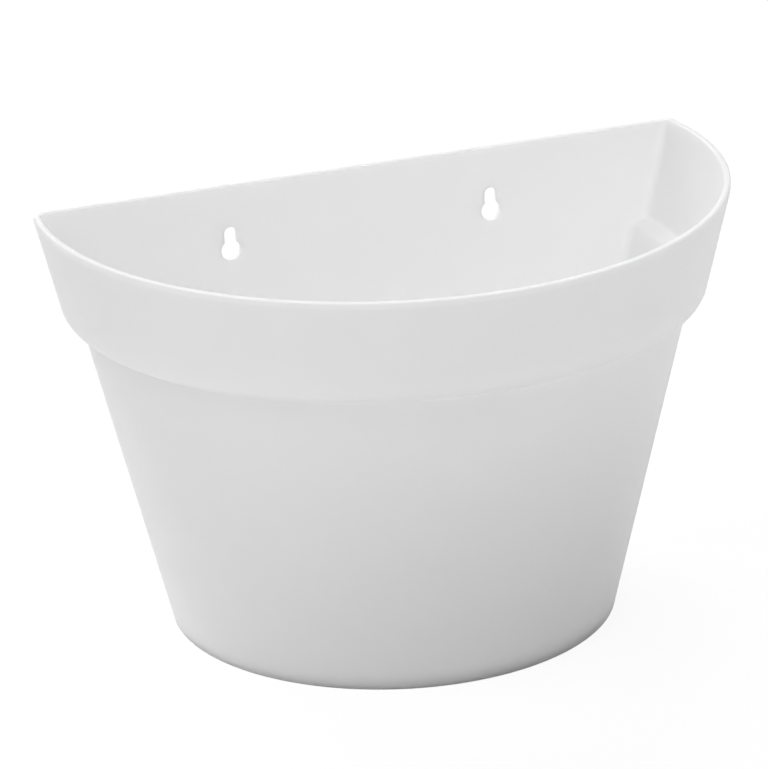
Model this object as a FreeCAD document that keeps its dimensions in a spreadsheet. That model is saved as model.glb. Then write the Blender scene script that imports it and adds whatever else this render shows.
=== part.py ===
import FreeCAD, Part
import math
import os
import Sketcher

# Half-round wall planter, in millimetres.
# The pot is turned about an upright axis that stands in front of the wall, and is cut off
# flat at the wall. Its tall collar steps out all round the curved side, the wall keeps one
# thickness through that step, and a ledge stands inside where the collar steps out outside.
# The floor stands clear of the ground on a foot ring and has two drain holes, each closed
# from below by a soft plug.
# Frame of the finished part: the origin lies on the wall plane, midway between the centres
# of the two screw seats; +Z is up, +X is to the right seen from the front, -Y is the front.

SIZES = {
    "rim_radius": (200.0, "curved side at the top edge, from the pot's axis"),
    "base_radius": (129.4, "curved side at the ground, from the pot's axis"),
    "axis_to_wall": (37.0, "pot's axis in front of the wall plane"),
    "pot_height": (258.0, "ground to rim"),
    "collar_height": (65.0, "rim down to the collar's lower edge"),
    "collar_step": (8.5, "how far the collar stands out from the pot's side"),
    "collar_round": (6.0, "outer rounding of the collar's lower edge"),
    "wall_thickness": (4.5, "curved side, back and floor"),
    "back_corner_round": (4.5, "upright outer corners beside the wall"),
    "inner_corner_round": (2.2, "upright inner corners beside the wall"),
    "ledge_edge_round": (3.5, "rounded edge of the inner ledge"),
    "rim_land": (1.5, "flat on top of the rim, inside its rounded outer edge"),
    "base_round": (2.5, "outer edge at the ground"),
    "foot_height": (4.0, "recess of the underside above the ground"),
    "foot_width": (9.0, "ring that the pot stands on"),
    "foot_corner_round": (8.0, "corners of the recess in the underside"),
    "keyhole_spacing": (160.0, "between the two screw seats"),
    "keyhole_below_rim": (29.0, "centre of a screw seat below the rim"),
    "keyhole_drop": (10.25, "centre of the entry circle below the seat's centre"),
    "keyhole_entry_radius": (6.0, "circle that lets the screw's head through"),
    "keyhole_seat_radius": (3.75, "round top of the slot, where the screw's shank sits"),
    "drain_spacing": (110.0, "between the two drain holes"),
    "drain_to_wall": (80.0, "drain holes in front of the wall plane"),
    "drain_radius": (7.0, "drain hole"),
    "plug_clearance": (0.08, "round the plug's lip in its drain hole"),
    "plug_neck_depth": (0.25, "how far the plug's neck is drawn in below its lip"),
    "plug_lip_height": (2.5, "lip of the plug above the floor"),
    "plug_lead": (1.0, "slope on the lip's upper edge"),
    "plug_skin": (2.0, "top and side of the hollow plug"),
    "flange_overlap": (4.0, "flange of the plug beyond the drain hole"),
    "flange_thickness": (2.0, "flange of the plug under the floor"),
}

doc = FreeCAD.newDocument("wall_planter")
sheet = doc.addObject("Spreadsheet::Sheet", "Sizes")
for row, (alias, (value, meaning)) in enumerate(SIZES.items(), start=1):
    sheet.set(f"A{row}", alias)
    sheet.set(f"B{row}", str(value))
    sheet.setAlias(f"B{row}", alias)
    sheet.set(f"C{row}", meaning)
doc.recompute()

# Places that follow from the sizes, as expressions.
rise = "((Sizes.rim_radius - Sizes.collar_step - Sizes.base_radius) / Sizes.pot_height)"
rim_height = "Sizes.pot_height"
step_height = "(Sizes.pot_height - Sizes.collar_height)"
ledge_height = f"({step_height} + Sizes.wall_thickness)"
floor_height = "(Sizes.foot_height + Sizes.wall_thickness)"
back_inside = "(Sizes.axis_to_wall - Sizes.wall_thickness)"
seat_height = "(Sizes.pot_height - Sizes.keyhole_below_rim)"
drain_across = "Sizes.drain_spacing / 2"
drain_forward = "Sizes.axis_to_wall - Sizes.drain_to_wall"

up = FreeCAD.Vector(0, 0, 1)
near = 0.01  # places closer than this are the same


def pot_radius(height):
    """Pot's side below the collar, at a height; the collar's side is parallel to it."""
    return f"(Sizes.base_radius + {rise} * {height})"


def collar_radius(height):
    return f"({pot_radius(height)} + Sizes.collar_step)"


def value_of(expression):
    """Number that an expression gives with the present sizes; None stands for zero."""
    return float(sheet.evalExpression(expression)) if expression else 0.0


# Sketches and features

def new_body(label):
    body = doc.addObject("PartDesign::Body", label)
    body.Label = label
    return body


def origin_plane(body, role):
    return next(item for item in body.Origin.OriginFeatures if item.Role == role)


def new_sketch(body, role, name, offset=None):
    """Sketch on one of the body's own planes, moved along the plane's normal."""
    sketch = body.newObject("Sketcher::SketchObject", name)
    sketch.AttachmentSupport = [(origin_plane(body, role), "")]
    sketch.MapMode = "FlatFace"
    if offset:
        sketch.setExpression("AttachmentOffset.Base.z", offset)
    return sketch


def bind(sketch, constraint, expression):
    index = sketch.addConstraint(constraint)
    sketch.setExpression(f"Constraints[{index}]", expression)


def hold(sketch, geometry, point, across, upward):
    """Holds a point at two expressions; None keeps it on the axis itself."""
    place = sketch.getPoint(geometry, point)
    for kind, axis, expression, present in (
        ("DistanceX", -2, across, place.x),
        ("DistanceY", -1, upward, place.y),
    ):
        if expression is None:
            sketch.addConstraint(Sketcher.Constraint("PointOnObject", geometry, point, axis))
        else:
            distance = Sketcher.Constraint(kind, -1, 1, geometry, point, present)
            bind(sketch, distance, expression)


def hold_radius(sketch, geometry, expression):
    radius = Sketcher.Constraint("Radius", geometry, value_of(expression))
    bind(sketch, radius, expression)


def draw_polygon(sketch, corners):
    """Closed outline through corners given as pairs of expressions."""
    count = len(corners)
    start = [FreeCAD.Vector(value_of(across), value_of(upward), 0) for across, upward in corners]
    for i in range(count):
        sketch.addGeometry(Part.LineSegment(start[i], start[(i + 1) % count]))
    for i, (across, upward) in enumerate(corners):
        sketch.addConstraint(Sketcher.Constraint("Coincident", i, 2, (i + 1) % count, 1))
        hold(sketch, i, 1, across, upward)


def draw_circle(sketch, across, upward, radius):
    centre = FreeCAD.Vector(value_of(across), value_of(upward), 0)
    index = sketch.addGeometry(Part.Circle(centre, up, value_of(radius)))
    hold(sketch, index, 3, across, upward)
    hold_radius(sketch, index, radius)


def turn(body, corners):
    """Full turn of a profile about the body's own upright axis."""
    sketch = new_sketch(body, "XZ_Plane", f"{body.Label}_profile")
    draw_polygon(sketch, corners)
    turned = body.newObject("PartDesign::Revolution", f"{body.Label}_turned")
    turned.Profile = sketch
    turned.ReferenceAxis = (sketch, ["V_Axis"])
    turned.Angle = 360
    doc.recompute()


def cut(body, sketch, name, length=None):
    """Pocket along the sketch's normal, through everything unless it has a length."""
    before = body.Shape.Volume
    pocket = body.newObject("PartDesign::Pocket", name)
    pocket.Profile = sketch
    pocket.Reversed = True
    if length:
        pocket.setExpression("Length", length)
    else:
        pocket.Type = "ThroughAll"
    doc.recompute()
    if body.Shape.Volume > before - near:
        raise RuntimeError(f"{name} removes nothing")
    return pocket


def mirror(body, feature, name):
    """Second copy of a cut on the other side of the upright middle plane."""
    before = body.Shape.Volume
    copies = body.newObject("PartDesign::Mirrored", name)
    copies.Originals = [feature]
    copies.MirrorPlane = (origin_plane(body, "YZ_Plane"), [""])
    body.Tip = copies
    doc.recompute()
    if body.Shape.Volume > before - near:
        raise RuntimeError(f"{name} removes nothing")


def round_edges(body, name, radius, wanted):
    """Fillet on each edge of the body's latest shape that passes a test."""
    base = body.Tip
    names = [f"Edge{i}" for i, edge in enumerate(base.Shape.Edges, start=1) if wanted(edge)]
    fillet = body.newObject("PartDesign::Fillet", name)
    fillet.Base = (base, names)
    fillet.setExpression("Radius", radius)
    doc.recompute()


def set_place(body, across, forward, upward):
    for axis, expression in zip("xyz", (across, forward, upward)):
        if expression:
            body.setExpression(f"Placement.Base.{axis}", expression)


# Tests that find edges by where they run

def is_level(edge, height):
    box = edge.BoundBox
    return box.ZLength < near and abs(box.ZMin - height) < near


def reach_of_arcs(body, height):
    """How far to the right each level arc at a height reaches."""
    return [edge.BoundBox.XMax for edge in body.Shape.Edges if is_level(edge, height)]


def climbs_on(edge, plane_y):
    """True for an edge that leaves the level but stays on a plane parallel to the wall."""
    box = edge.BoundBox
    return box.ZLength > near and abs(box.YMin - plane_y) < near and box.YLength < near


def is_upright(edge):
    """True for an edge that runs straight up."""
    box = edge.BoundBox
    return box.ZLength > near and max(box.XLength, box.YLength) < near


# Sub-parts

def cut_off_flat(body, back):
    """Takes away what lies behind a plane parallel to the wall."""
    side = "2 * Sizes.rim_radius"
    behind = new_sketch(body, "XY_Plane", f"{body.Label}_behind")
    draw_polygon(behind, [(f"-{side}", back), (side, back), (side, side), (f"-{side}", side)])
    cut(body, behind, f"{body.Label}_wall_cut")


def planting_space():
    """The hollow of the pot as a solid, with the ledge that follows the collar's step."""
    body = new_body("planting_space")
    corners = [
        (None, floor_height),
        (f"{pot_radius(floor_height)} - Sizes.wall_thickness", floor_height),
        (f"{pot_radius(ledge_height)} - Sizes.wall_thickness", ledge_height),
        (f"{collar_radius(ledge_height)} - Sizes.wall_thickness", ledge_height),
        (f"{collar_radius(rim_height)} - Sizes.wall_thickness", rim_height),
        (None, rim_height),
    ]
    turn(body, corners)
    ledge = value_of(ledge_height)
    narrowest = min(reach_of_arcs(body, ledge))
    round_edges(
        body, "ledge_edge", "Sizes.ledge_edge_round",
        lambda edge: is_level(edge, ledge) and edge.BoundBox.XMax < narrowest + near,
    )
    cut_off_flat(body, back_inside)
    round_edges(
        body, "inner_corners", "Sizes.inner_corner_round",
        lambda edge: climbs_on(edge, value_of(back_inside)),
    )
    return body


def keyhole_outline(body):
    """Right-hand keyhole, drawn on the wall plane: round seat, slot and entry circle."""
    sketch = new_sketch(body, "XZ_Plane", "keyhole_outline", "-Sizes.axis_to_wall")
    seat = FreeCAD.Vector(sheet.keyhole_spacing / 2, value_of(seat_height), 0)
    entry = seat - FreeCAD.Vector(0, sheet.keyhole_drop, 0)
    opening = math.acos(sheet.keyhole_seat_radius / sheet.keyhole_entry_radius)
    seat_circle = Part.Circle(seat, up, sheet.keyhole_seat_radius)
    entry_circle = Part.Circle(entry, up, sheet.keyhole_entry_radius)
    seat_arc = Part.ArcOfCircle(seat_circle, 0, math.pi)
    entry_arc = Part.ArcOfCircle(entry_circle, math.pi - opening, opening)
    left_side = Part.LineSegment(seat_arc.EndPoint, entry_arc.StartPoint)
    right_side = Part.LineSegment(entry_arc.EndPoint, seat_arc.StartPoint)
    top, bottom, left, right = sketch.addGeometry([seat_arc, entry_arc, left_side, right_side])
    sketch.addConstraint([
        Sketcher.Constraint("Tangent", top, 2, left, 1),
        Sketcher.Constraint("Coincident", left, 2, bottom, 1),
        Sketcher.Constraint("Coincident", bottom, 2, right, 1),
        Sketcher.Constraint("Tangent", right, 2, top, 1),
        Sketcher.Constraint("Vertical", left),
        Sketcher.Constraint("Vertical", right),
    ])
    middle = "Sizes.keyhole_spacing / 2"
    hold(sketch, top, 3, middle, seat_height)
    hold(sketch, bottom, 3, middle, f"{seat_height} - Sizes.keyhole_drop")
    hold_radius(sketch, top, "Sizes.keyhole_seat_radius")
    hold_radius(sketch, bottom, "Sizes.keyhole_entry_radius")
    return sketch


def foot_recess(body):
    """Hollow underside: the floor stands on a ring that follows the pot's outline."""
    sketch = new_sketch(body, "XY_Plane", "recess_outline")
    radius = "Sizes.base_radius - Sizes.foot_width"
    back = "Sizes.axis_to_wall - Sizes.foot_width"
    lean = math.asin(value_of(back) / value_of(radius))
    circle = Part.Circle(FreeCAD.Vector(), up, value_of(radius))
    arc = Part.ArcOfCircle(circle, math.pi - lean, lean)
    curve, line = sketch.addGeometry([arc, Part.LineSegment(arc.EndPoint, arc.StartPoint)])
    sketch.addConstraint([
        Sketcher.Constraint("Coincident", curve, 2, line, 1),
        Sketcher.Constraint("Coincident", curve, 1, line, 2),
        Sketcher.Constraint("Coincident", curve, 3, -1, 1),
        Sketcher.Constraint("Horizontal", line),
    ])
    hold_radius(sketch, curve, radius)
    bind(sketch, Sketcher.Constraint("DistanceY", -1, 1, line, 1, value_of(back)), back)
    cut(body, sketch, "foot_recess", "Sizes.foot_height")
    wall = value_of("Sizes.axis_to_wall")
    round_edges(
        body, "foot_corners", "Sizes.foot_corner_round",
        lambda edge: is_upright(edge) and edge.BoundBox.ZMin < near
        and edge.BoundBox.YMax < wall - near,
    )


def pot_shell():
    """The one moulding: back, curved side with its collar, floor and foot ring."""
    body = new_body("pot_shell")
    corners = [
        (None, None),
        ("Sizes.base_radius", None),
        (pot_radius(step_height), step_height),
        (collar_radius(step_height), step_height),
        (collar_radius(rim_height), rim_height),
        (None, rim_height),
    ]
    turn(body, corners)
    step = value_of(step_height)
    widest = max(reach_of_arcs(body, step))
    round_edges(
        body, "collar_edge", "Sizes.collar_round",
        lambda edge: is_level(edge, step) and edge.BoundBox.XMax > widest - near,
    )
    cut_off_flat(body, "Sizes.axis_to_wall")
    round_edges(
        body, "back_corners", "Sizes.back_corner_round",
        lambda edge: climbs_on(edge, sheet.axis_to_wall),
    )
    round_edges(
        body, "rim_edge", "Sizes.wall_thickness - Sizes.rim_land",
        lambda edge: is_level(edge, value_of(rim_height)),
    )
    round_edges(body, "base_edge", "Sizes.base_round", lambda edge: is_level(edge, 0))

    hollow = body.newObject("PartDesign::Boolean", "hollow")
    hollow.Type = "Cut"
    hollow.setObjects([planting_space()])
    doc.recompute()

    keyhole = cut(body, keyhole_outline(body), "keyhole", "Sizes.wall_thickness")
    mirror(body, keyhole, "keyholes")
    foot_recess(body)
    drain = new_sketch(body, "XY_Plane", "drain_outline")
    draw_circle(drain, drain_across, drain_forward, "Sizes.drain_radius")
    drain_hole = cut(body, drain, "drain_hole")
    mirror(body, drain_hole, "drain_holes")
    set_place(body, None, "-Sizes.axis_to_wall", f"-{seat_height}")
    return body


def drain_plug(label, side):
    """Soft plug, hollow from below and pushed up until its flange meets the floor.

    Its own origin is on the drain hole's axis, on the underside of the floor.
    """
    body = new_body(label)
    lip = "(Sizes.drain_radius - Sizes.plug_clearance)"
    neck = f"({lip} - Sizes.plug_neck_depth)"
    hollow = f"({neck} - Sizes.plug_skin)"
    flange = "(Sizes.drain_radius + Sizes.flange_overlap)"
    top = "(Sizes.wall_thickness + Sizes.plug_lip_height)"
    corners = [
        (hollow, "-Sizes.flange_thickness"),
        (flange, "-Sizes.flange_thickness"),
        (flange, None),
        (neck, None),
        (neck, "Sizes.wall_thickness"),
        (lip, "Sizes.wall_thickness + Sizes.plug_neck_depth"),
        (lip, f"{top} - Sizes.plug_lead"),
        (f"{lip} - Sizes.plug_lead", top),
        (None, top),
        (None, f"{top} - Sizes.plug_skin"),
        (hollow, f"{top} - Sizes.plug_skin"),
    ]
    turn(body, corners)
    set_place(
        body, f"{side} * {drain_across}", "-Sizes.drain_to_wall",
        f"Sizes.foot_height - {seat_height}",
    )
    return body


subparts = [
    pot_shell(),
    drain_plug("drain_plug_left", -1),
    drain_plug("drain_plug_right", 1),
]
doc.recompute()

for item in doc.Objects:
    if "Invalid" in item.State or "Error" in item.State:
        raise RuntimeError(f"{item.Label} failed: {item.State}")
for body in subparts:
    if body.Shape.isNull() or not body.Shape.isValid() or len(body.Shape.Solids) != 1:
        raise RuntimeError(f"{body.Label} is not one valid solid")

os.makedirs("parts", exist_ok=True)
for body in subparts:
    body.Shape.exportStep(f"parts/{body.Label}.step")
    print(f"{body.Label}: {body.Shape.Volume:.0f} mm3")
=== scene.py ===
from math import acos, atan, cos, pi, radians, sin, tan

import bpy
import numpy as np
from mathutils import Matrix, Vector


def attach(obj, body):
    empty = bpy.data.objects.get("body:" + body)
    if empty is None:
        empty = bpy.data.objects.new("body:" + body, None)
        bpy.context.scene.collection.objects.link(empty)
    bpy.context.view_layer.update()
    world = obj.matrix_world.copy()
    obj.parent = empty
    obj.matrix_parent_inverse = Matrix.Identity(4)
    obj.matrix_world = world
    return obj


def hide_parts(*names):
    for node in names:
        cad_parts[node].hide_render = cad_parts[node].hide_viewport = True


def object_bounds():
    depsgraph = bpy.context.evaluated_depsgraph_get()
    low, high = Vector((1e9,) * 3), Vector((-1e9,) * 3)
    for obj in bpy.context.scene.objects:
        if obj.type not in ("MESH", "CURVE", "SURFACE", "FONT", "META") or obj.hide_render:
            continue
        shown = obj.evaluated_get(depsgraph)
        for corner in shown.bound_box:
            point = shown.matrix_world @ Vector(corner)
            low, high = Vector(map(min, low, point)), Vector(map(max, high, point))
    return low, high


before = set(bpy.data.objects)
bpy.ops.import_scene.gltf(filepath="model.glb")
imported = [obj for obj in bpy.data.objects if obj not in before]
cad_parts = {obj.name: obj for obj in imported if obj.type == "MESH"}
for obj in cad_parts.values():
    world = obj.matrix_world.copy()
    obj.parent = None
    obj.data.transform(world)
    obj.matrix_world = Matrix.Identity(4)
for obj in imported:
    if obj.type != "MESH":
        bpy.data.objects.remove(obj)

# Half-round wall planter, in metres. The wall is the plane y = 0, the front is -Y, +Z is up.
cadBox = [list(corner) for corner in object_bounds()]
ground = cadBox[0][2]
rimTop = cadBox[1][2]
wallPlane = cadBox[1][1]
print("frame loaded:", ", ".join(sorted(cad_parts)))


def meshFromRings(name, rings):
    # rings is a (row, column, xyz) grid: each row a closed loop, clockwise from above, and the
    # rows lead from a face that looks down, up the outside, and back down to one that looks up
    rows, columns = rings.shape[:2]
    index = np.arange(rows * columns).reshape(rows, columns)
    onward = np.roll(index, -1, axis=1)
    quads = np.stack([index[:-1], index[1:], onward[1:], onward[:-1]], axis=-1).reshape(-1, 4)
    corners = np.concatenate([quads.ravel(), index[0], index[-1, ::-1]])
    starts = np.concatenate([np.arange(len(quads)) * 4, len(quads) * 4 + np.array([0, columns])])
    mesh = bpy.data.meshes.new(name)
    mesh.vertices.add(rows * columns)
    mesh.vertices.foreach_set("co", rings.astype(np.float32).ravel())
    mesh.loops.add(len(corners))
    mesh.loops.foreach_set("vertex_index", corners.astype(np.int32))
    mesh.polygons.add(len(starts))
    mesh.polygons.foreach_set("loop_start", starts.astype(np.int32))
    mesh.update(calc_edges=True)
    mesh.validate()
    piece = bpy.data.objects.new(name, mesh)
    bpy.context.scene.collection.objects.link(piece)
    return piece


def shadeSoft(piece, sharpAngle):
    # smooth shading, broken only where two faces meet at more than the angle
    piece.data.shade_smooth()
    piece.data.set_sharp_from_angle(angle=sharpAngle)


def joinBlocks(blocks, spacing, support):
    # a straight stretch between two blocks gets rows at a steady spacing, and one more close to
    # each end, which keeps the rounded edge's shading off the flat side
    shortest, samePlace = 3 * support, 1e-7
    profile = [blocks[0]]
    for block in blocks[1:]:
        start, end = profile[-1][-1], block[0]
        length = np.abs(end - start)[:2].max()
        if length > shortest:
            share = np.linspace(0, 1, max(int(length / spacing), 1) + 1)[1:-1]
            share = np.concatenate([[support / length], share, [1 - support / length]])
            profile.append(start + (end - start) * np.unique(share)[:, None])
        profile.append(block)
    profile = np.vstack(profile)
    moved = np.abs(np.diff(profile, axis=0)).max(axis=1) > samePlace
    return profile[np.concatenate([[True], moved])]


pot = {
    "rimRadius": 0.2000,         # curved side at the top edge, from the pot's axis
    "baseRadius": 0.1294,        # the same at the ground
    "axisToWall": 0.0370,
    "collarHeight": 0.0650,
    "collarStep": 0.0085,
    "collarRound": 0.0060,
    "wall": 0.0045,
    "backCorner": 0.0045,        # upright outer corners beside the wall
    "innerCorner": 0.0050,
    "ledgeHollow": 0.0030,       # hollow corner above the inner ledge
    "ledgeRound": 0.0042,        # the ledge's own edge
    "ledgeSlope": radians(22),   # how far the ledge falls towards the inside
    "floorHollow": 0.0030,
    "rimBend": 0.0012,           # half the bend from the collar's slope to the upright lip
    "rimRound": 0.0010,
    "rimInnerRound": 0.0014,
    "baseRound": 0.0010,
    "footHeight": 0.0040,
    "footWidth": 0.0090,
    "footCorner": 0.0080,
    "footEdge": 0.0006,
    "roundingSteps": 10,         # rows on each rounded edge, and on the bend below the lip
    "bendSteps": 7,
    "rowSpacing": 0.006,
    "supportRow": 0.0003,
    "cutBeyond": 0.010,          # how far the cutters stand out past the wall they cut
    "columnsBack": 64,           # columns of faces on half the back, one corner, half the front
    "columnsCorner": 9,
    "columnsFront": 120,
    "sharpAngle": radians(38),
}

keyhole = {
    "spacing": 0.160,
    "seatBelowRim": 0.029,
    "seatRadius": 0.00375,
    "entryRadius": 0.0060,
    "entryDrop": 0.01025,        # centre of the entry circle below the seat's
    "steps": 28,
}

drain = {
    "spacing": 0.110,
    "toWall": 0.080,
    "radius": 0.0070,
    "steps": 72,
}


def potProfile():
    # Rows of (radius, height, inset, corner): the curved side's radius about the pot's axis, the
    # height above the ground, how far the back stands in front of the wall plane, and the
    # rounding of the upright corners. The side leans out by slope = rise in radius / height, and
    # a rounded edge is r * (cos, sin) about its own centre.
    height = rimTop - ground
    slope = (pot["rimRadius"] - pot["collarStep"] - pot["baseRadius"]) / height
    lean = atan(slope)
    wall, floorTop = pot["wall"], pot["footHeight"] + pot["wall"]
    step = height - pot["collarHeight"]
    ledge = step + wall

    def bodySide(z):
        return pot["baseRadius"] + slope * z

    def collarSide(z):
        return bodySide(z) + pot["collarStep"]

    def innerSide(z):
        return bodySide(z) - wall

    def innerCollar(z):
        return collarSide(z) - wall

    def edge(side, z, r, first, last, inset, corner):
        # points r * (cos, sin) about a centre that lies r / cos(lean) from the side: beyond it for
        # the edges inside the pot, which start by facing up, and within it for all others
        turned = np.linspace(first, last, pot["roundingSteps"])
        centre = side(z) + (1 if first > 0 else -1) * r / cos(lean)
        rows = [centre + r * np.cos(turned), z + r * np.sin(turned)]
        return np.stack(np.broadcast_arrays(*rows, inset, corner), axis=-1)

    # the lip stands upright over its last few millimetres, at the width of the CAD box, and the
    # bend into it is the parabola (1 - s)^2 low + 2 s (1 - s) corner + s^2 high
    reach = min(cadBox[1][0], -cadBox[0][0])
    bendHeight = height - (pot["rimRadius"] - reach) / slope
    bendLow, bendHigh = bendHeight - pot["rimBend"], bendHeight + pot["rimBend"]
    s = np.linspace(0, 1, pot["bendSteps"])[:, None]
    lip = ((1 - s) ** 2 * np.array([[collarSide(bendLow), bendLow, 0, pot["backCorner"]]])
           + 2 * s * (1 - s) * np.array([[reach, bendHeight, 0, pot["backCorner"]]])
           + s ** 2 * np.array([[reach, bendHigh, 0, pot["backCorner"]]]))

    quarter = np.linspace(0, pi / 2, pot["roundingSteps"])
    baseInset = pot["baseRound"] * (1 - np.sin(quarter))
    rimInset = pot["rimRound"] * (1 - np.cos(quarter))
    innerInset = wall - pot["rimInnerRound"] * (1 - np.sin(quarter))
    floorInset = wall + pot["floorHollow"] * (1 - np.cos(quarter))
    footInner = pot["baseRadius"] - pot["footWidth"]
    footEdge = pot["footEdge"] * (1 - np.cos(quarter))

    # the ledge's slope a is tangent to its hollow corner and to its edge, whose radii add up to r,
    # when the hollow stands higher by (tan a (step + (slope - 1 / cos lean + sin a) r)
    # - r (1 - cos a)) / (1 - slope tan a)
    a, r = pot["ledgeSlope"], pot["ledgeHollow"] + pot["ledgeRound"]
    across = pot["collarStep"] + (slope - 1 / cos(lean) + sin(a)) * r
    rise = (tan(a) * across - r * (1 - cos(a))) / (1 - slope * tan(a))

    recess = np.array([[footInner, pot["footHeight"], pot["footWidth"], pot["footCorner"]]])
    footLip = np.stack([
        footInner + footEdge,
        pot["footEdge"] * (1 - np.sin(quarter)),
        pot["footWidth"] - footEdge,
        pot["footCorner"] + 0 * quarter,
    ], axis=-1)
    blocks = [
        recess,
        footLip,
        edge(bodySide, pot["baseRound"], pot["baseRound"], -pi / 2, -lean,
             baseInset, pot["backCorner"] - baseInset),
        np.array([[bodySide(step), step, 0, pot["backCorner"]]]),
        edge(collarSide, step + pot["collarRound"], pot["collarRound"], -pi / 2, -lean,
             0, pot["backCorner"]),
        lip,
        np.stack([
            reach - rimInset,
            height - pot["rimRound"] * (1 - np.sin(quarter)),
            rimInset,
            pot["backCorner"] - rimInset,
        ], axis=-1),
        edge(innerCollar, height - pot["rimInnerRound"], pot["rimInnerRound"], pi / 2, pi - lean,
             innerInset[::-1], pot["innerCorner"]),
        edge(innerCollar, ledge + rise + pot["ledgeHollow"], pot["ledgeHollow"], -lean, a - pi / 2,
             wall, pot["innerCorner"]),
        edge(innerSide, ledge - pot["ledgeRound"], pot["ledgeRound"], pi / 2 + a, pi - lean,
             wall, pot["innerCorner"]),
        edge(innerSide, floorTop + pot["floorHollow"], pot["floorHollow"], -lean, -pi / 2,
             floorInset, pot["innerCorner"]),
    ]
    return joinBlocks(blocks, pot["rowSpacing"], pot["supportRow"])


def halfRoundLoops(profile):
    # Each row is a circle of its radius about the pot's axis, cut off by the line of the back,
    # with rounded corners. A corner's centre lies its rounding inside both, so with the back
    # at height b above the axis and a rounding c its x is sqrt((R - c)^2 - (b - c)^2).
    radius, height, inset, corner = (profile[:, i, None] for i in range(4))
    back = pot["axisToWall"] - inset
    cornerX = np.sqrt((radius - corner) ** 2 - (back - corner) ** 2)
    meets = np.arctan2(back - corner, cornerX)
    along = np.linspace(0, 1, pot["columnsBack"] + 1)[None, :-1]
    bend = np.linspace(0, 1, pot["columnsCorner"] + 1)[None, :-1]
    sweep = np.linspace(0, 1, pot["columnsFront"] + 1)[None]
    cornerTurn = pi / 2 + (meets - pi / 2) * bend
    frontTurn = meets + (-pi / 2 - meets) * sweep
    x = np.hstack([
        cornerX * along,
        cornerX + corner * np.cos(cornerTurn),
        radius * np.cos(frontTurn),
    ])
    y = np.hstack([
        back + 0 * along,
        back - corner + corner * np.sin(cornerTurn),
        radius * np.sin(frontTurn),
    ])
    x = np.hstack([x, -x[:, -2:0:-1]])
    y = np.hstack([y, y[:, -2:0:-1]])
    z = ground + height + 0 * x
    return np.stack([x, y + wallPlane - pot["axisToWall"], z], axis=-1)


def prism(outline, direction, low, high):
    # an outline of (across, along) points carried from low to high on the Y or the Z axis
    ends = np.array([low, high])[:, None] + 0 * outline[None, :, 0]
    across, along = (np.broadcast_to(outline[:, i], ends.shape) for i in (0, 1))
    order = (across, ends, along) if direction == "Y" else (across, along, ends)
    return np.stack(order, axis=-1)


def keyholeOutline(side):
    # half a circle for the seat, and straight sides down to the entry circle, which they meet at
    # acos(seat radius / entry radius) above its centre's level
    seatZ = rimTop - keyhole["seatBelowRim"]
    opening = acos(keyhole["seatRadius"] / keyhole["entryRadius"])
    seatTurn = np.linspace(0, pi, keyhole["steps"])
    entryTurn = np.linspace(pi - opening, 2 * pi + opening, 2 * keyhole["steps"])
    x = np.concatenate([
        keyhole["seatRadius"] * np.cos(seatTurn),
        keyhole["entryRadius"] * np.cos(entryTurn),
    ])
    z = np.concatenate([
        keyhole["seatRadius"] * np.sin(seatTurn),
        keyhole["entryRadius"] * np.sin(entryTurn) - keyhole["entryDrop"],
    ])
    return np.stack([side * keyhole["spacing"] / 2 + x, seatZ + z], axis=-1)


def drainOutline(side):
    # a circle about the drain's axis
    turned = np.linspace(0, 2 * pi, drain["steps"], endpoint=False)
    x = side * drain["spacing"] / 2 + drain["radius"] * np.cos(turned)
    y = wallPlane - drain["toWall"] + drain["radius"] * np.sin(turned)
    return np.stack([x, y], axis=-1)


def cutHole(piece, rings):
    # takes the closed shape that the rings make out of the piece
    cutter = meshFromRings("cutter", rings)
    modifier = piece.modifiers.new("hole", "BOOLEAN")
    modifier.operation = "DIFFERENCE"
    modifier.solver = "EXACT"
    modifier.object = cutter
    evaluated = piece.evaluated_get(bpy.context.evaluated_depsgraph_get())
    solid = bpy.data.meshes.new_from_object(evaluated)
    piece.modifiers.remove(modifier)
    piece.data = solid
    bpy.data.objects.remove(cutter)


def makePot():
    # the profile's rings, with a keyhole through the back and a drain hole through the floor on
    # each side
    piece = meshFromRings("potShell", halfRoundLoops(potProfile()))
    beyond = pot["cutBeyond"]
    wallInside = wallPlane - pot["wall"]
    for side in (-1, 1):
        wallHole = prism(keyholeOutline(side), "Y", wallInside - beyond, wallPlane + beyond)
        cutHole(piece, wallHole)
        floorHole = prism(drainOutline(side)[::-1], "Z", ground - beyond, ground + 2 * beyond)
        cutHole(piece, floorHole)
    shadeSoft(piece, pot["sharpAngle"])
    return piece


potShell = makePot()
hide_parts("pot_shell")
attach(potShell, "pot")
print("pot:", len(potShell.data.polygons), "faces")

plug = {
    "clearance": 0.00008,        # between the lip and the drain hole
    "neckDepth": 0.00025,
    "lipHeight": 0.0025,
    "lead": 0.0010,              # sloped edge at the top
    "skin": 0.0020,
    "flangeOverlap": 0.0040,
    "flangeThickness": 0.0020,
    "edgeRound": 0.0004,
    "roundingSteps": 7,
    "rowSpacing": 0.0015,
    "supportRow": 0.00008,
    "columns": 96,
    "sharpAngle": radians(38),
}


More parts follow.
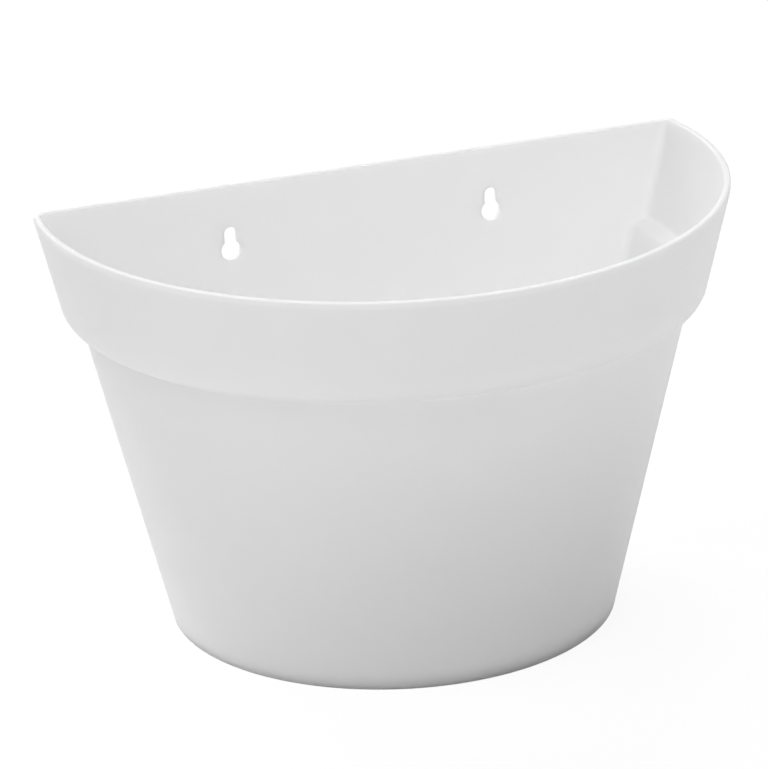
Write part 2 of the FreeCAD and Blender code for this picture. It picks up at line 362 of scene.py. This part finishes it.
def plugProfile():
    # rows of (radius, height) above the floor's underside, from the hollow to the top
    lip = drain["radius"] - plug["clearance"]
    neck = lip - plug["neckDepth"]
    hollow = neck - plug["skin"]
    flange = drain["radius"] + plug["flangeOverlap"]
    top = pot["wall"] + plug["lipHeight"]
    low, r = -plug["flangeThickness"], plug["edgeRound"]
    quarter = np.linspace(0, pi / 2, plug["roundingSteps"])

    def rounded(radius, height, first):
        # a quarter turn of rounding about the point r inside the corner
        turned = quarter + first
        return np.stack([radius + r * np.cos(turned), height + r * np.sin(turned)], axis=-1)

    blocks = [
        np.array([[hollow, top - plug["skin"]]]),
        np.array([[hollow, low + r]]),
        np.stack([hollow + r - r * np.cos(quarter), low + r - r * np.sin(quarter)], axis=-1),
        rounded(flange - r, low + r, -pi / 2),
        rounded(flange - r, -r, 0),
        np.array([[neck, 0.0], [neck, pot["wall"]], [lip, pot["wall"] + plug["neckDepth"]]]),
        np.array([[lip, top - plug["lead"]]]),
        np.array([[lip - plug["lead"], top]]),
    ]
    return joinBlocks(blocks, plug["rowSpacing"], plug["supportRow"])


def makePlug(name, side):
    # a lathe: each profile row goes once round the drain hole's axis, clockwise from above
    profile = plugProfile()
    turned = -np.linspace(0, 2 * pi, plug["columns"], endpoint=False)[None]
    x = side * drain["spacing"] / 2 + profile[:, :1] * np.cos(turned)
    y = wallPlane - drain["toWall"] + profile[:, :1] * np.sin(turned)
    z = ground + pot["footHeight"] + profile[:, 1:] + 0 * x
    piece = meshFromRings(name, np.stack([x, y, z], axis=-1))
    shadeSoft(piece, plug["sharpAngle"])
    return piece


plugs = []
for name, side in (("left", -1), ("right", 1)):
    piece = makePlug(f"drainPlug_{name}", side)
    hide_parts(f"drain_plug_{name}")
    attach(piece, f"plug_{name}")
    plugs.append(piece)
print("plugs:", len(plugs))

plastic = {
    "tone": (0.900, 0.900, 0.898),       # linear colour of the moulding
    "toneDeep": (0.885, 0.886, 0.886),   # where the pigment lies a little thicker
    "cloudSize": 0.055,
    "cloudRange": (0.35, 0.70),          # from the first of the noise's values to the second
    "satin": 0.40,                       # roughness, from the shiniest to the dullest places
    "matt": 0.50,
    "smudgeSize": 0.024,
    "smudgeRange": (0.30, 0.70),
    "specular": 0.40,
    "ior": 1.49,
    "glow": 1.0,                         # share of the light that goes into the wall
    "glowDepth": 0.022,
    "grainSize": 0.00075,
    "grainDepth": 0.000012,
    "waveSize": 0.060,                   # slow unevenness of the moulded wall
    "waveDepth": 0.00035,
    "drawMarkSize": 0.0012,              # faint upright streaks from the mould
    "drawMarkStretch": (1, 1, 0.03),
    "drawMarkShare": 0.05,
    "speckEvery": 0.045,                 # one cell of specks, of which about a third has one
    "speckRadius": 0.0005,
    "speckTone": (0.50, 0.49, 0.47),
    "dustTone": (0.40, 0.38, 0.35),      # dust near the ground
    "dustHeight": 0.006,
    "dustShare": 0.16,
    "dustSize": 0.009,
    "dustRange": (0.42, 0.75),
}

rubber = {
    "tone": (0.560, 0.560, 0.552),
    "toneDeep": (0.520, 0.520, 0.514),
    "cloudSize": 0.006,
    "satin": 0.55,
    "matt": 0.68,
    "smudgeSize": 0.003,
    "noiseRange": (0.30, 0.70),
    "ior": 1.5,
    "grainSize": 0.0004,
    "grainDepth": 0.000015,
}


class Finish:
    # one node-based material and the few nodes that its layers are made of
    def __init__(self, name):
        self.material = bpy.data.materials.new(name)
        self.material.use_nodes = True
        self.nodes = self.material.node_tree.nodes
        self.links = self.material.node_tree.links
        self.shader = self.nodes["Principled BSDF"]
        self.place = self.add("ShaderNodeTexCoord").outputs["Object"]

    def add(self, kind, **inputs):
        # a new node with its inputs fed by name, an underscore standing for a space
        node = self.nodes.new(kind)
        for name, value in inputs.items():
            self.feed(node.inputs[name.replace("_", " ")], value)
        return node

    def feed(self, socket, value):
        # a link from another node's output, or a value that stands in the socket
        if isinstance(value, bpy.types.NodeSocket):
            self.links.new(value, socket)
        else:
            socket.default_value = value

    def noise(self, size, detail=2.0, roughness=0.5, stretch=(1, 1, 1)):
        # 0 to 1, in spots of about the size; a stretch under 1 draws them out along that axis
        place = self.add("ShaderNodeMapping", Vector=self.place, Scale=stretch).outputs[0]
        return self.add("ShaderNodeTexNoise", Vector=place, Scale=1 / size, Detail=detail,
                        Roughness=roughness).outputs["Fac"]

    def specks(self, every, radius):
        # 1 in small round spots: near a cell's own point, in the cells whose red is high
        outside, inside = 1.3 * radius / every, 0.7 * radius / every
        redFrom, redTo = 0.62, 0.68
        cells = self.add("ShaderNodeTexVoronoi", Vector=self.place, Scale=1 / every)
        red = self.add("ShaderNodeSeparateColor", Color=cells.outputs["Color"]).outputs[0]
        spot = self.remap(cells.outputs["Distance"], outside, inside)
        return self.times(spot, self.remap(red, redFrom, redTo))

    def remap(self, value, low, high, toLow=0.0, toHigh=1.0):
        # a straight line from low -> toLow to high -> toHigh, held at both ends
        node = self.add("ShaderNodeMapRange", Value=value)
        node.inputs["From Min"].default_value = low
        node.inputs["From Max"].default_value = high
        node.inputs["To Min"].default_value = toLow
        node.inputs["To Max"].default_value = toHigh
        return node.outputs["Result"]

    def times(self, first, second):
        node = self.nodes.new("ShaderNodeMath")
        node.operation = "MULTIPLY"
        self.feed(node.inputs[0], first)
        self.feed(node.inputs[1], second)
        return node.outputs[0]

    def blend(self, share, first, second):
        # the first colour where the share is 0, the second where it is 1
        node = self.nodes.new("ShaderNodeMix")
        node.data_type = "RGBA"
        self.feed(node.inputs["Factor"], share)
        for socket, colour in ((node.inputs[6], first), (node.inputs[7], second)):
            self.feed(socket, colour if isinstance(colour, bpy.types.NodeSocket) else (*colour, 1))
        return node.outputs[2]

    def bump(self, height, depth, under=None):
        # a height of 0 to 1 stands for the depth, on top of the bump under it
        node = self.add("ShaderNodeBump", Height=height, Distance=depth)
        if under is not None:
            self.links.new(under, node.inputs["Normal"])
        return node.outputs["Normal"]

    def wire(self, name, value):
        self.feed(self.shader.inputs[name], value)


def mouldedPlastic():
    # translucent off-white plastic: cloudy tone, a little dust near the ground, specks, smudged
    # gloss with upright mould marks, and a fine grain on slow waves
    finish = Finish("mouldedPlastic")
    clouds = finish.noise(plastic["cloudSize"], detail=4, roughness=0.55)
    clouds = finish.remap(clouds, *plastic["cloudRange"])
    tone = finish.blend(clouds, plastic["tone"], plastic["toneDeep"])
    height = finish.add("ShaderNodeSeparateXYZ", Vector=finish.place).outputs["Z"]
    nearFloor = finish.remap(height, ground + plastic["dustHeight"], ground)
    dusty = finish.noise(plastic["dustSize"], detail=5, roughness=0.7)
    dusty = finish.remap(dusty, *plastic["dustRange"], 0, plastic["dustShare"])
    tone = finish.blend(finish.times(nearFloor, dusty), tone, plastic["dustTone"])
    specks = finish.specks(plastic["speckEvery"], plastic["speckRadius"])
    tone = finish.blend(specks, tone, plastic["speckTone"])
    finish.wire("Base Color", tone)
    smudges = finish.noise(plastic["smudgeSize"], detail=5, roughness=0.62)
    drawMarks = finish.noise(plastic["drawMarkSize"], detail=3, stretch=plastic["drawMarkStretch"])
    gloss = finish.remap(smudges, *plastic["smudgeRange"], plastic["satin"], plastic["matt"])
    share = plastic["drawMarkShare"]
    streaks = finish.remap(drawMarks, *plastic["smudgeRange"], 1 - share, 1 + share)
    finish.wire("Roughness", finish.times(gloss, streaks))
    waves = finish.bump(finish.noise(plastic["waveSize"], detail=1), plastic["waveDepth"])
    grain = finish.bump(finish.noise(plastic["grainSize"], detail=2, roughness=0.6),
                        plastic["grainDepth"], under=waves)
    finish.wire("Normal", grain)
    finish.wire("IOR", plastic["ior"])
    finish.wire("Specular IOR Level", plastic["specular"])
    finish.wire("Subsurface Weight", plastic["glow"])
    finish.wire("Subsurface Radius", (1, 1, 1))
    finish.wire("Subsurface Scale", plastic["glowDepth"])
    return finish.material


def softRubber():
    # dull grey rubber with a cloudy tone and a fine grain
    finish = Finish("softRubber")
    clouds = finish.noise(rubber["cloudSize"], detail=4, roughness=0.6)
    clouds = finish.remap(clouds, *rubber["noiseRange"])
    finish.wire("Base Color", finish.blend(clouds, rubber["tone"], rubber["toneDeep"]))
    smudges = finish.noise(rubber["smudgeSize"], detail=4, roughness=0.65)
    gloss = finish.remap(smudges, *rubber["noiseRange"], rubber["satin"], rubber["matt"])
    finish.wire("Roughness", gloss)
    grain = finish.noise(rubber["grainSize"], detail=2)
    finish.wire("Normal", finish.bump(grain, rubber["grainDepth"]))
    finish.wire("IOR", rubber["ior"])
    return finish.material


potShell.data.materials.clear()
potShell.data.materials.append(mouldedPlastic())
plugRubber = softRubber()
for piece in plugs:
    piece.data.materials.append(plugRubber)
print("materials:", len(bpy.data.materials))

studio = {
    "floorSize": 16.0,
    "floorTone": 0.85,           # what the floor gives back to the planter
    "floorSeen": 0.12,           # the share of the seen floor that keeps the shadow
    "floorWhite": 0.905,
    "roomLight": 0.10,
    "lampDistance": 2.0,         # where the lamps' own marks stand; a sun's light has no place
    "lamps": {
        # azimuth (0 is the front, positive to +X), elevation, softness as an angle, strength,
        # and whether its mirror image shows in glossy surfaces
        "leftSoftbox": (-70, 50, 50, 1.40, True),
        "rightSoftbox": (70, 50, 50, 0.42, True),
        "backSoftbox": (-178, 50, 50, 1.58, True),
        "lowLeftPanel": (-115, 12, 50, 0.36, False),
        "lowBackPanel": (-178, 12, 50, 0.58, False),
    },
}


def seenWhite(nodes, links):
    # 1 for what the camera, a reflection or a clear surface sees, 0 for what lights the object
    rays = nodes.new("ShaderNodeLightPath")
    total = rays.outputs["Is Camera Ray"]
    for name in ("Is Glossy Ray", "Is Transmission Ray"):
        node = nodes.new("ShaderNodeMath")
        node.operation = "MAXIMUM"
        links.new(total, node.inputs[0])
        links.new(rays.outputs[name], node.inputs[1])
        total = node.outputs[0]
    return total


def makeFloor():
    # a square on the ground: plain and pale for what lights the planter, and for what is seen
    # white, of which a share keeps the planter's shadow
    half = studio["floorSize"] / 2
    corners = [(x * half, y * half, ground) for x, y in ((-1, -1), (1, -1), (1, 1), (-1, 1))]
    mesh = bpy.data.meshes.new("floor")
    mesh.from_pydata(corners, [], [(0, 1, 2, 3)])
    floor = bpy.data.objects.new("floor", mesh)
    bpy.context.scene.collection.objects.link(floor)
    material = bpy.data.materials.new("paleFloor")
    material.use_nodes = True
    nodes, links = material.node_tree.nodes, material.node_tree.links
    nodes.clear()
    output = nodes.new("ShaderNodeOutputMaterial")
    bounce = nodes.new("ShaderNodeBsdfDiffuse")
    bounce.inputs["Color"].default_value = (*[studio["floorTone"]] * 3, 1)
    seen = nodes.new("ShaderNodeBsdfDiffuse")
    seen.inputs["Color"].default_value = (*[studio["floorSeen"]] * 3, 1)
    glow = nodes.new("ShaderNodeEmission")
    glow.inputs["Strength"].default_value = studio["floorWhite"]
    both = nodes.new("ShaderNodeAddShader")
    mix = nodes.new("ShaderNodeMixShader")
    links.new(seen.outputs[0], both.inputs[0])
    links.new(glow.outputs[0], both.inputs[1])
    links.new(seenWhite(nodes, links), mix.inputs[0])
    links.new(bounce.outputs[0], mix.inputs[1])
    links.new(both.outputs[0], mix.inputs[2])
    links.new(mix.outputs[0], output.inputs["Surface"])
    mesh.materials.append(material)


def makeRoomLight():
    # an even glow from all round, seen as white
    world = bpy.data.worlds.new("studio")
    bpy.context.scene.world = world
    world.use_nodes = True
    nodes, links = world.node_tree.nodes, world.node_tree.links
    background = nodes["Background"]
    background.inputs["Color"].default_value = (1, 1, 1, 1)
    strength = nodes.new("ShaderNodeMapRange")
    strength.inputs["To Min"].default_value = studio["roomLight"]
    strength.inputs["To Max"].default_value = 1.0
    links.new(seenWhite(nodes, links), strength.inputs["Value"])
    links.new(strength.outputs["Result"], background.inputs["Strength"])


def makeLamps():
    # each lamp shines from (sin a cos e, -cos a cos e, sin e), a its azimuth, e its elevation
    for name, (azimuth, elevation, softness, strength, mirrored) in studio["lamps"].items():
        lamp = bpy.data.lights.new(name, "SUN")
        lamp.angle = radians(softness)
        lamp.energy = strength
        holder = bpy.data.objects.new(name, lamp)
        a, e = radians(azimuth), radians(elevation)
        away = Vector((sin(a) * cos(e), -cos(a) * cos(e), sin(e)))
        holder.location = away * studio["lampDistance"]
        holder.rotation_euler = away.to_track_quat("Z", "Y").to_euler()
        holder.visible_glossy = mirrored
        bpy.context.scene.collection.objects.link(holder)


makeFloor()
makeRoomLight()
makeLamps()
print("studio:", len(studio["lamps"]), "lamps")

camera = {
    "azimuth": -19.905,
    "elevation": 21.021,
    "roll": -1.923,
    "distance": 3.03508,
    "lens": 251.69,
    "centre": (-0.02364, -0.09738, -0.06924),
}


def makeCamera():
    # stands back from the centre by the distance, at its azimuth and elevation, and then rolls
    lens = bpy.data.cameras.new("camera")
    lens.lens = camera["lens"]
    holder = bpy.data.objects.new("camera", lens)
    turned = (
        Matrix.Rotation(radians(camera["azimuth"]), 4, "Z")
        @ Matrix.Rotation(radians(90 - camera["elevation"]), 4, "X")
        @ Matrix.Rotation(radians(camera["roll"]), 4, "Z")
    )
    back = turned.to_3x3() @ Vector((0, 0, 1))
    place = Vector(camera["centre"]) + back * camera["distance"]
    holder.matrix_world = Matrix.Translation(place) @ turned
    bpy.context.scene.collection.objects.link(holder)
    bpy.context.scene.camera = holder


makeCamera()
bpy.context.scene.view_settings.view_transform = "Standard"
